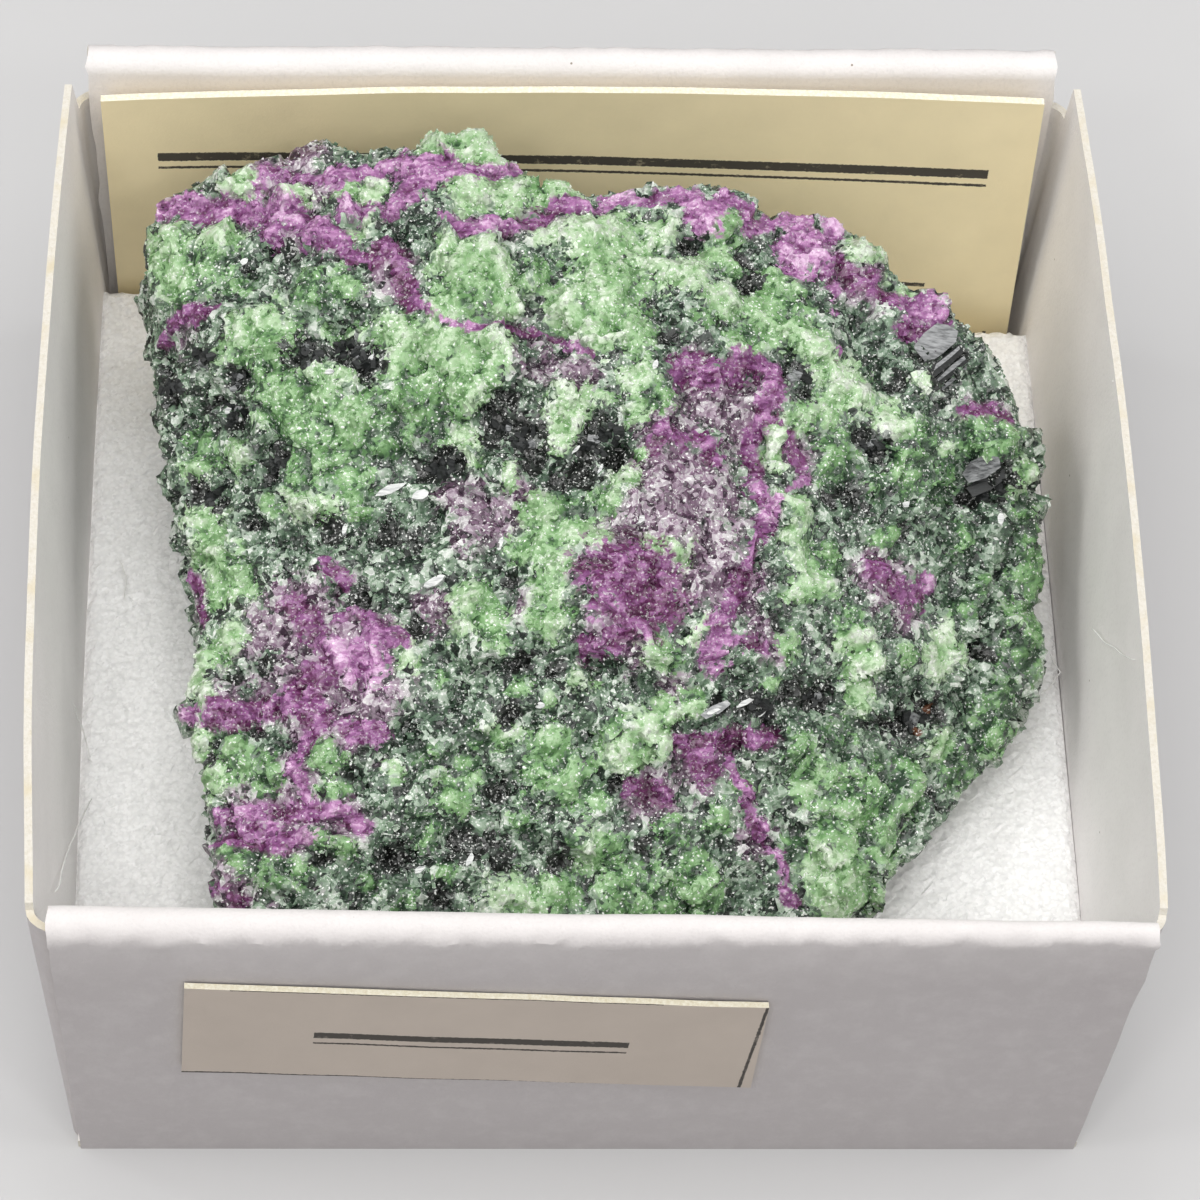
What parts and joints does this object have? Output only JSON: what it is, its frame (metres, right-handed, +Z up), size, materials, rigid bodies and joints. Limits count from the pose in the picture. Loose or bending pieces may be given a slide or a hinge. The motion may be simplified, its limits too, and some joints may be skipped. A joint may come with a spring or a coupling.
{
  "type": "ruby in zoisite specimen in a card tray",
  "caption": "Rough wedge of green zoisite with purple ruby bands and black amphibole, lying on a foam pad in a small folded white card tray with a blank cream name card and front label.",
  "frame": {"origin": "middle of the tray's underside, on the surface it stands on", "axes": "+Z up, -Y towards the front wall with the label, +X to the right seen from the front"},
  "size_m": [0.0432, 0.0424, 0.0213],
  "materials": {
    "tray_card": "matte white card with cream cut edges",
    "foam": "white closed-cell foam with a fine glittering cell texture",
    "ruby_in_zoisite": "rough broken, sugary green zoisite with purple to pink ruby and black amphibole",
    "cream_card": "matte cream card",
    "label_paper": "matte cream paper"
  },
  "bodies": {
    "root": {"tray": "tray_card", "foam_pad": "foam", "stone": "ruby_in_zoisite", "name_card": "cream_card", "front_label": "label_paper"}
  },
  "joints": []
}
